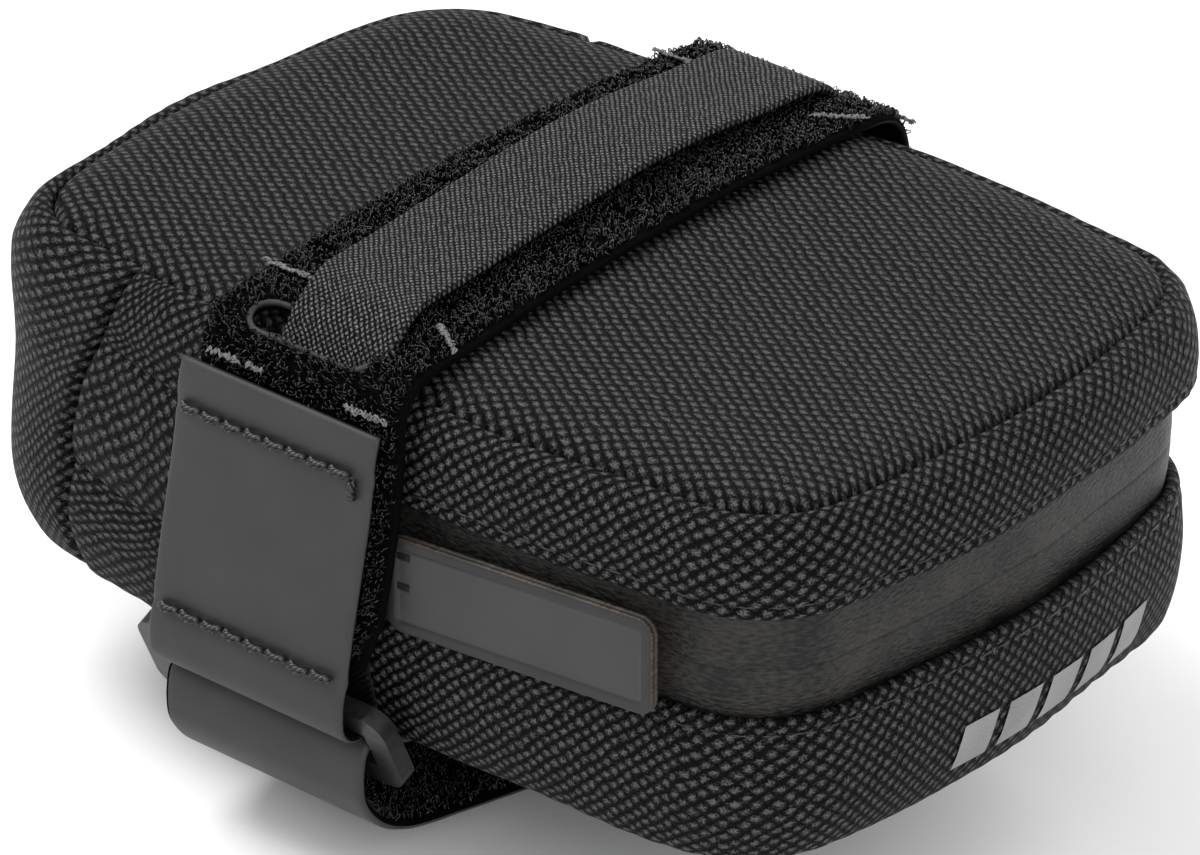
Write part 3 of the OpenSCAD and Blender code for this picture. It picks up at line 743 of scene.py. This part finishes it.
def leaf(name, y_in, y_out, field, node, tilt=2.2, turn=4.2):
    """A rubber leaf: an outline drawn in ring by ring, with a recessed field."""
    rings = [(0.9, y_in), (0.25, y_in), (0.0, y_in + 0.2), (0.0, y_out - 0.25), (0.12, y_out - 0.07),
             (0.4, y_out)]
    floor = y_out - (FIELD_SINK if field else 0)
    rings += [(1.15, y_out), (1.45, y_out - 0.08), (1.6, floor)] if field else []
    rings += [(2.2, floor), (4.5, floor)]
    kinds = [2 if k in (1, 2, 3) else int(k < 8) for k in range(len(rings) - 1)]
    rows = []
    for inset, y in rings:
        outline = round_rect(PULL_LEN, PULL_H, PULL_CORNER, inset)
        sag = 0.35 * np.sin(math.pi * outline[:, 0] / PULL_LEN)
        rows.append(np.stack([outline[:, 0] + PULL_START, -y + sag, outline[:, 1] - PULL_DROP], 1))
    points = np.array(rows)
    n, m = points.shape[:2]
    x, z = points[..., 0] - PULL_LEN, points[..., 2]
    a = math.radians(tilt)
    points[..., 0] = PULL_LEN + x * math.cos(a) - z * math.sin(a)
    points[..., 2] = x * math.sin(a) + z * math.cos(a)
    spin = Matrix.Rotation(math.radians(turn), 3, "Z")
    points = points @ np.array(spin).T + LINK
    faces = grid_faces(n, m, False, True)
    faces += [tuple(range(m)), tuple(range((n - 1) * m, n * m))]
    kind = [k for k in kinds for _ in range(m)] + [1, 0 if field else 1]
    thread = points.reshape(-1, 3)[:, [0, 2]]
    obj = make_object(name, stand(points).reshape(-1, 3), faces, thread,
                      [M_RUBBER, M_RUBBER_DARK, M_RUBBER_EDGE], kind)
    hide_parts(node)
    return obj


# ---------------------------------------------------------------- straps
TOP_RUN = [[-38, 50.6], [-25, 51.3], [-10, 51.7], [0, 51.7], [10, 51.7], [25, 51.3], [38, 50.6]]
NEAR_LEG = [[-55.2, 13], [-55, 16], [-54.6, 20], [-54, 25], [-53.4, 30], [-52.9, 35], [-52.7, 41],
            [-51.9, 45.4], [-50, 48.3], [-46.8, 49.9], [-43, 50.3]]
FAR_LEG = [[43, 50.3], [46.8, 49.9], [50, 48.3], [51.9, 45.2], [52.9, 41], [53.4, 35], [53.6, 27],
           [53.6, 18], [53.2, 10]]
WING_END = [[50.9, 28.5], [50.9, 33], [50.6, 38], [50.2, 42], [49.7, 44.6], [48.8, 46.3],
            [47.6, 47.7], [46.5, 49.2], [45.4, 51.0], [43.4, 52.6], [40.0, 53.6]]
WING_TOP = [[30, 54.3], [18, 55.3], [5, 55.6], [-10, 54.9], [-22, 54.3], [-31, 53.9]]
UNDER = [[53.4, 9.6], [53, 5], [51.2, 1.4], [47.5, -1], [43, -1.6], [30, -1.6], [0, -1.6],
         [-30, -1.6], [-41, -1.8], [-46, -1.3], [-48.6, 0.1], [-50.4, 1.15], [-52.2, 1.3],
         [-53.6, 0.2], [-54, -1.5], [-54.1, -3]]
TAIL = [[-54.1, -3.6], [-53.7, -6.4], [-51.8, -9.4], [-48.8, -12], [-45, -13.8], [-41, -14.9],
        [-36, -15.9], [-28, -17.5], [-17, -19.5], [-6, -20.3], [4, -19.4], [13, -16.3],
        [21, -11.6], [28, -7.2], [33, -5.4], [38, -5], [46, -5]]
UPPER_BAR, ROLL_R, PANEL_W = (-54.4, 5.7), 3.1, 31.2
SLOT_Y, SLOT_W, SLOT_LEN, SLOT_X = 46.5, 5.2, 19.4, -8.6
STRAP_LEAN, LEG_SHOWS, WING_LEAN = 1.9, 2.1, 1.3
PANEL_LINE = [[-53.8, 44.6], [-54.4, 41], [-54.6, 35], [-55.1, 30], [-55.7, 25], [-56.3, 20],
              [-56.7, 16], [-57.1, 12], [-57.5, 8.5]]


def strap_skew(y, z):
    """The near leg stands a little to the rear at its top, and the strap runs back from it."""
    leg = np.clip((z - 8) / 36, 0, 1)
    over = np.clip((20 - y) / 63, 0, 1)
    return STRAP_LEAN * leg * over**1.5


def leg_skew(y, z):
    """The base strap's leg shows beyond the rear edge of the panel sewn to it."""
    rise = np.clip((z - 12) / 8, 0, 1) * np.clip((50 - z) / 9, 0, 1)
    return LEG_SHOWS * rise * (y < 0)


def wing_skew(y, _z):
    """The wing strap's near end goes into its slot a little to the rear."""
    return WING_LEAN * np.clip((-38 - y) / 6, 0, 1)


def skewed(obj, extra=None):
    """Leans a strap, or a piece on one, along the bag."""
    size = len(obj.data.vertices)
    co = np.empty(size * 3)
    obj.data.vertices.foreach_get("co", co)
    co = co.reshape(-1, 3) * 1000 - SHIFT
    co[:, 0] += strap_skew(co[:, 1], co[:, 2])
    if extra is not None:
        co[:, 0] += extra(co[:, 1], co[:, 2])
    obj.data.vertices.foreach_set("co", stand(co).ravel())
    obj.data.update()
    return obj


def stadium(grow=0.0, points=12):
    """The slot's outline round its middle."""
    r, half = SLOT_W / 2 + grow, SLOT_LEN / 2 - SLOT_W / 2
    out = []
    for sign, a0 in ((1, -90), (-1, 90)):
        for a in np.radians(np.linspace(a0, a0 + 180, points)):
            out.append((sign * half + r * math.cos(a), r * math.sin(a)))
    return np.array(out)


def cut_slots(obj):
    cutters = []
    for s in (-1, 1):
        ring = stadium()
        n = len(ring)
        points = np.array([[SLOT_X + x, s * SLOT_Y + y, z] for z in (44, 54) for x, y in ring])
        faces = grid_faces(2, n, False, True) + [tuple(range(n)), tuple(range(n, 2 * n))]
        cutter = make_object(f"cutter_{s}", stand(points), faces, None, [])
        cut = obj.modifiers.new("slot", "BOOLEAN")
        cut.object, cut.operation, cut.solver = cutter, "DIFFERENCE", "EXACT"
        cutters.append(cutter)
    bake(obj)
    for cutter in cutters:
        bpy.data.objects.remove(cutter)


def bake(obj):
    """Applies the modifiers."""
    shown = obj.evaluated_get(bpy.context.evaluated_depsgraph_get())
    mesh = bpy.data.meshes.new_from_object(shown)
    obj.modifiers.clear()
    obj.data = mesh


def base_strap():
    line = NEAR_LEG + TOP_RUN + FAR_LEG

    def lift(run, across):
        return -0.5 + 0.1 * np.sin(run / 3.1) * (np.abs(across) / 16) ** 2

    strip = strap("base_strap_ground", line, 1.0, STRAP_X, STRAP_W, [M_FELT, M_BACK], lift=lift)
    cut_slots(strip)
    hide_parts("base_strap")
    rng = np.random.default_rng(11)
    flat = even(smooth(line), 0.2)
    side = left_of(flat)
    count = 17000
    pick = rng.integers(0, len(flat), count)
    across = rng.uniform(-STRAP_W / 2 + 0.8, STRAP_W / 2 - 0.8, count)
    y, z = flat[pick, 0], flat[pick, 1]
    x = STRAP_X + across
    covered = (y < -52) & (z < 44.3) & (across < STRAP_W / 2 - 5.5)
    hole = (np.abs(x - SLOT_X) < SLOT_LEN / 2) & (np.abs(np.abs(y) - SLOT_Y) < SLOT_W / 2 + 0.1)
    keep = ~(covered | hole | ((y < -52) & (z < 14)))
    ups = np.stack([np.zeros(count), side[pick, 0], side[pick, 1]], 1)
    edge = np.clip((np.abs(across) - 14.5) / 1.5, 0, 1) * np.sign(across)
    ups[:, 0] += 0.8 * edge
    ups /= np.linalg.norm(ups, axis=1)[:, None]
    roots = np.stack([x, y, z], 1)
    fur = pile("base_strap_pile", roots[keep], ups[keep], rng, [M_PILE], 1.0, 0.75)
    over, edges = smooth([[38, 50.6], [43, 50.3], [46.8, 49.9], [50, 48.3], [51.9, 45.4]]), []
    for s in (-1, 1):
        ring = stadium(0.12)
        ring = np.concatenate([ring, ring[:1]])
        height = np.interp(SLOT_Y + ring[:, 1], over[:, 0], over[:, 1])
        edges.append(np.stack([SLOT_X + ring[:, 0], s * (SLOT_Y + ring[:, 1]), height - 0.1], 1))
    rimmed = tubes("slot_edges", edges, 0.4, [M_SLOT_EDGE], 6)
    return skewed(strip, leg_skew), skewed(fur, leg_skew), skewed(rimmed, leg_skew)


def wing_strap():
    near = [[-y, z] for y, z in WING_END]
    far = [[y, z] for y, z in WING_END]
    line = near + WING_TOP[::-1] + far[::-1]

    def lift(run, across):
        return 0.35 * (1 - (across / 8) ** 2) * np.sin(math.pi * run / run.max()) ** 2

    obj = strap("wing_strap_webbing", line, 1.2, WING_X, WING_W, [M_WEB], lift=lift, across=0.8)
    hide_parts("wing_strap")
    return skewed(obj, wing_skew)


def side_panel():
    roll = [[UPPER_BAR[0] + ROLL_R * math.cos(a), UPPER_BAR[1] + ROLL_R * math.sin(a)]
            for a in np.radians(range(180, 391, 30))]
    line = PANEL_LINE + roll + [[-52.2, 9], [-52.9, 11], [-53.2, 13.4]]
    length = run_of(even(smooth(line), 0.9))[-1]

    def lift(run, across):
        top = length - run
        rows = bump_at(top - 6.0, 0.8) + bump_at(top - 33.2, 0.8)
        bow = 0.12 * (1 - (across / 15) ** 2) * np.sin(math.pi * np.clip(top / 36, 0, 1))
        return bow - 0.3 * rows

    obj = strap("side_panel_coated", line[::-1], 0.75, STRAP_X - 0.2, PANEL_W, [M_COAT, M_BACK],
                lift=lift)
    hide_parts("side_panel")
    return skewed(obj)


def under_tail():
    obj = strap("under_and_tail_strap", UNDER + TAIL, 1.3, STRAP_X, STRAP_W, [M_FELT, M_COAT],
                step=0.7)
    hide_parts("under_strap", "tail_strap")
    rng = np.random.default_rng(23)
    flat = even(smooth(TAIL), 0.2)
    flat = flat[(flat[:, 0] > -54.3) & (flat[:, 1] < -8)]
    side = left_of(flat)
    count = 3600
    pick = rng.integers(0, len(flat), count)
    across = rng.uniform(-STRAP_W / 2 + 0.5, STRAP_W / 2 - 0.5, count)
    roots = np.stack([STRAP_X + across, *(flat[pick] + side[pick] * 0.6).T], 1)
    ups = np.stack([np.zeros(count), *side[pick].T], 1)
    fur = pile("tail_strap_pile", roots, ups, rng, [M_PILE], 0.9, 0.8)
    return obj, fur


def patches():
    rng = np.random.default_rng(31)
    loop = strap("loop_patch_ground", [[-34, -2.8], [0, -2.8], [45.5, -2.8]], 0.5, STRAP_X, 30,
                 [M_FELT])
    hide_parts("loop_patch")
    hook = strap("hook_patch_ground", [[34.5, -3.85], [40, -3.85], [45.5, -3.85]], 0.5, STRAP_X,
                 30, [M_FELT])
    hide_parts("hook_patch")
    count = 2400
    roots = np.stack([STRAP_X + rng.uniform(-14.6, 14.6, count), rng.uniform(-33.6, 33, count),
                      np.full(count, -3.0)], 1)
    ups = np.tile([0.0, 0.0, -1.0], (count, 1))
    fur = pile("loop_patch_pile", roots, ups, rng, [M_PILE], 0.45, 0.7)
    return loop, hook, fur


# ---------------------------------------------------------------- threads and marks
def panel_point(top, across):
    """A point on the side panel's outer face, top down from its upper edge."""
    line = even(smooth(PANEL_LINE), 0.3)
    run, side = run_of(line), left_of(line)
    y = np.interp(top, run, line[:, 0] - side[:, 0] * 0.62)
    z = np.interp(top, run, line[:, 1] - side[:, 1] * 0.62)
    return np.array([STRAP_X + across, y, z])


def panel_stitches():
    rng = np.random.default_rng(5)
    paths = []
    for top, first, last in ((6.0, -14.6, 12.4), (33.2, -14.2, 13.6)):
        count = round((last - first) / 3.6)
        pitch = (last - first) / count
        for k in range(count):
            jog = rng.normal(0, 0.12, 4)
            a = panel_point(top + jog[0], first + k * pitch + jog[1])
            b = panel_point(top + jog[2], first + k * pitch + 3.25 + jog[3])
            paths += twisted(a, b, (0, -1, 0), 0.55, 0.42, plies=3, turns=1.5)
    a, b = panel_point(6.3, 12.7), panel_point(8.9, 12.9)
    paths += twisted(a, b, (0, -1, 0), 0.5, 0.4, plies=3, turns=1.2)
    obj = tubes("panel_stitches", paths, 0.36, [M_THREAD])
    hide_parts("side_stitching")
    return skewed(obj)


def tack(centre, ahead, side, up, length, rng):
    """A short dense zigzag of thread."""
    count = int(length / 0.24)
    path = []
    for k in range(count + 1):
        where = (k / count - 0.5) * length
        swing = (0.34 if k % 2 else -0.34) * rng.uniform(0.1, 1.7)
        place = centre + ahead * (where + rng.normal(0, 0.35)) + side * swing
        path.append(place + up * rng.uniform(0.0, 0.3))
    return smooth(path, 3)


def bar_tacks():
    rng = np.random.default_rng(7)
    x_dir, up = np.array([1.0, 0, 0]), np.array([0, 0, 1.0])
    paths = []
    for s in (-1, 1):
        for x, y, length, turn in ((-19.6, 38.9, 7.5, 0), (6.2, 39.6, 7.0, 35)):
            lie = np.array([math.cos(math.radians(turn)), s * math.sin(math.radians(turn)), 0])
            side = np.array([-lie[1], lie[0], 0])
            paths += [tack(np.array([x, s * y, 51.7]), lie, side, up, length, rng)
                      for _ in range(2)]
        tilt, side = np.array([0, s * 0.93, 0.37]), np.array([0, -s * 0.37, 0.93])
        for x, length in ((-17.2, 4.4), (-12.4, 2.6), (5.0, 6.4)):
            paths += [tack(np.array([x, s * 53.2, 46.5]), x_dir, side, tilt, length, rng)
                      for _ in range(2)]
    obj = tubes("bar_tack_threads", paths, 0.13, [M_LIGHT], 4)
    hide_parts("bar_tacks")
    return skewed(obj)


def edge_stitches(name, start, end, place, pitch=3.1):
    """A row of small stitches sunk into a hem."""
    paths = []
    for d in np.arange(start, end - pitch, pitch):
        a, b = place(d), place(d + pitch * 0.78)
        up = np.array([*(a - [0, 0, a[2]])[:2], 0])
        paths += twisted(a, b, up / np.linalg.norm(up), 0.16, 0.11, plies=2, turns=1.5, steps=5)
    return tubes(name, paths, 0.13, [M_THREAD], 4)


def hem_place(d):
    d = np.array([d])
    z = hem_at(d) + STITCH_UP
    off = 3.95 + wave(np.stack([d, 0 * d + 11.7, z], -1), 16, 0.7, 1.0) - 0.3
    return wall(lean_seam(d, z, LEAN_REACH), off, z)[0]


def sill_place(d):
    d = np.array([d])
    z = sill_at(d) - STITCH_DOWN
    off = 3.2 + wave(np.stack([d, 0 * d + 9.6, z], -1), 18, 0.9, 4.0) - 0.26
    return wall(lean_seam(d, z, LEAN_REACH), off, z)[0]


def reflective_bars():
    """Five plain slanted bars printed on the rear of the lower gusset."""
    verts, faces, threads = [], [], []
    for k in range(-2, 3):
        mid = quarter + 6 + 8 * k
        d, z = np.meshgrid(np.linspace(-3, 3, 9), np.linspace(4.8, 10.2, 8), indexing="ij")
        along = mid + d + 0.25 * (z - 7.5)
        off = np.interp(z, [4.5, 6.5, 9, 11.5], [2.75, 3.4, 3.75, 3.9]) + 0.22
        off = off + wave(np.stack([along, (off - 0.22) * 3, z], -1), 18, 0.9, 4.0)
        base = sum(len(v) for v in verts)
        verts.append(wall(along, off, z).reshape(-1, 3))
        threads.append(np.stack([along, z], -1).reshape(-1, 2))
        faces += grid_faces(9, 8, False, False, base)
    obj = make_object("reflective_bars", stand(np.concatenate(verts)), faces,
                      np.concatenate(threads), [M_PRINT])
    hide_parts("reflective_mark")
    return obj


# ---------------------------------------------------------------- putting it together
def rides(body, slot_name, *objects):
    for obj in objects:
        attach(obj, body)


PULL_BEND = (11.5, 27.0)


def bends_outward(slot_name, *objects):
    """Cuts the tab's leaves across every 1.5 mm along their first part, where the tab bends round
    the strap's edge when it is pulled out, and bakes their transform.
    """
    for obj in objects:
        mesh = bmesh.new()
        mesh.from_mesh(obj.data)
        for x in np.arange(PULL_BEND[0] - 1, PULL_BEND[1] + 3, 1.5):
            parts = mesh.verts[:] + mesh.edges[:] + mesh.faces[:]
            bmesh.ops.bisect_plane(mesh, geom=parts, plane_co=stand([x, 0, 0]),
                                   plane_no=(1, 0, 0))
        mesh.to_mesh(obj.data)
        mesh.free()
        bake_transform(obj)


def over_fold(slot_name, *objects):
    """Bakes the transform of cloth that crosses the fold line between the bag and its mouth."""
    for obj in objects:
        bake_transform(obj)


def finish_node(name, material, bevel_mm):
    """A CAD node that stays: a better material and softer edges."""
    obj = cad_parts[name]
    obj.data.materials.clear()
    obj.data.materials.append(material)
    edge = obj.modifiers.new("edges", "BEVEL")
    edge.width, edge.segments, edge.limit_method = bevel_mm / 1000, 3, "ANGLE"


def hardware():
    finish_node("ring", M_METAL, 0.45)
    finish_node("zip_slider", M_METAL, 0.2)
    finish_node("zip_pull_link", M_METAL, 0.12)
    finish_node("zip_end_stops", M_METAL, 0.15)
    finish_node("bottom_board", M_BOARD, 0.3)


def declare_cloth():
    """Works out the seam lengths of the long sides and of the nose in metres; nothing is done with
    them.
    """
    long_side = float(far_d(NOSE_X) - near_d(NOSE_X)) / 1000
    nose_side = float(4 * quarter + near_d(NOSE_X) - far_d(NOSE_X)) / 1000


def build():
    gusset, skirt, front = body_cloth()
    top = top_cloth()
    bottom = bottom_cloth()
    pad, lining, top_bind, low_bind = inner_cloth()
    tape_up, tape_low, tab_near, tab_far = zip_cloth()
    coil_up, coil_low = zip_coils()
    strip, fur, slots = base_strap()
    wing, panel = wing_strap(), side_panel()
    tail, tail_fur = under_tail()
    loop, hook, loop_fur = patches()
    outer = leaf("pull_tab_outer", 0.02, 0.8, True, "zip_pull_outer")
    inner = leaf("pull_tab_inner", -0.75, -0.02, False, "zip_pull_inner")
    hem_row = edge_stitches("hem_stitches", near_d(-16), far_d(-16), hem_place)
    sill_row = edge_stitches("sill_stitches", near_d(-16), far_d(-16), sill_place)
    stitches, tacks, bars = panel_stitches(), bar_tacks(), reflective_bars()

    over_fold("woven_fabric", gusset, top)
    over_fold("zip_tape", tape_up)
    over_fold("dark_thread", hem_row)
    over_fold("binding_tape", top_bind)
    over_fold("lining", pad)
    rides("bag", "woven_fabric", skirt, front, bottom, tab_near, tab_far)
    rides("bag", "lining", lining)
    rides("bag", "binding_tape", low_bind)
    rides("bag", "zip_tape", tape_low)
    rides("mouth", "zip_coil", coil_up)
    rides("bag", "zip_coil", coil_low)
    rides("bag", "loop_pile", strip, fur, slots, loop, loop_fur)
    rides("bag", "webbing", wing)
    rides("bag", "coated_fabric", panel)
    rides("bag", "dark_thread", sill_row, stitches)
    rides("bag", "light_thread", tacks)
    rides("bag", "reflective_print", bars)
    bends_outward("pull_rubber", outer, inner)
    rides("tail", "loop_pile", tail_fur, hook)
    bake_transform(tail)

    hardware()
    declare_cloth()


# ---------------------------------------------------------------- studio
CAMERA_AWAY, AIM_RIGHT, AIM_DOWN = 0.9, 0.19, 6.94


def camera():
    azimuth, elevation, roll = math.radians(38.1), math.radians(28.3), math.radians(2.0)
    back = Vector((math.sin(azimuth) * math.cos(elevation),
                   -math.cos(azimuth) * math.cos(elevation), math.sin(elevation)))
    level = Vector((math.cos(azimuth), math.sin(azimuth), 0))
    rise = back.cross(level)
    right = level * math.cos(roll) + rise * math.sin(roll)
    up = rise * math.cos(roll) - level * math.sin(roll)
    target = Vector((1.14, 1.7065, 49.55)) / 1000
    place = target + back * CAMERA_AWAY
    aim = target + (right * AIM_RIGHT - up * AIM_DOWN) / 1000
    z_axis = (place - aim).normalized()
    x_axis = up.cross(z_axis).normalized()
    y_axis = z_axis.cross(x_axis)
    data = bpy.data.cameras.new("camera")
    data.lens, data.sensor_width = 216, 36
    data.clip_start, data.clip_end = 0.05, 20
    obj = bpy.data.objects.new("camera", data)
    axes = Matrix((x_axis, y_axis, z_axis)).transposed().to_4x4()
    obj.matrix_world = Matrix.Translation(place) @ axes
    bpy.context.collection.objects.link(obj)
    bpy.context.scene.camera = obj


def soft_light(name, place, size, power):
    data = bpy.data.lights.new(name, "AREA")
    data.shape, data.size, data.energy = "SQUARE", size, power
    obj = bpy.data.objects.new(name, data)
    obj.location = place
    aim = Vector((0, 0, 0.03)) - Vector(place)
    obj.rotation_euler = aim.to_track_quat("-Z", "Y").to_euler()
    bpy.context.collection.objects.link(obj)


def studio():
    mesh = bpy.data.meshes.new("floor")
    mesh.from_pydata([(-6, -6, 0), (6, -6, 0), (6, 6, 0), (-6, 6, 0)], [], [(0, 1, 2, 3)])
    material, tree, shader = new_material("floor_paint", 0.9, specular=0.2)
    mottle = noise_signal(tree, object_place(tree), 3.0)
    colour_from(tree, shader, mottle, [(0.3, grey(0.86)), (0.7, grey(0.88))])
    mesh.materials.append(material)
    floor = bpy.data.objects.new("floor", mesh)
    floor.location.z = -0.0003
    bpy.context.collection.objects.link(floor)
    world = bpy.data.worlds.new("studio")
    world.use_nodes = True
    world.node_tree.nodes["Background"].inputs[0].default_value = (1, 1, 1, 1)
    world.node_tree.nodes["Background"].inputs[1].default_value = 0.75
    bpy.context.scene.world = world
    soft_light("key", (-0.5, -0.25, 0.9), 0.5, 9)
    soft_light("fill", (0.7, -0.6, 0.5), 0.6, 4)
    soft_light("back", (0.1, 0.9, 0.6), 0.5, 5)
    bpy.context.scene.view_settings.view_transform = "Standard"


camera()
build()
studio()
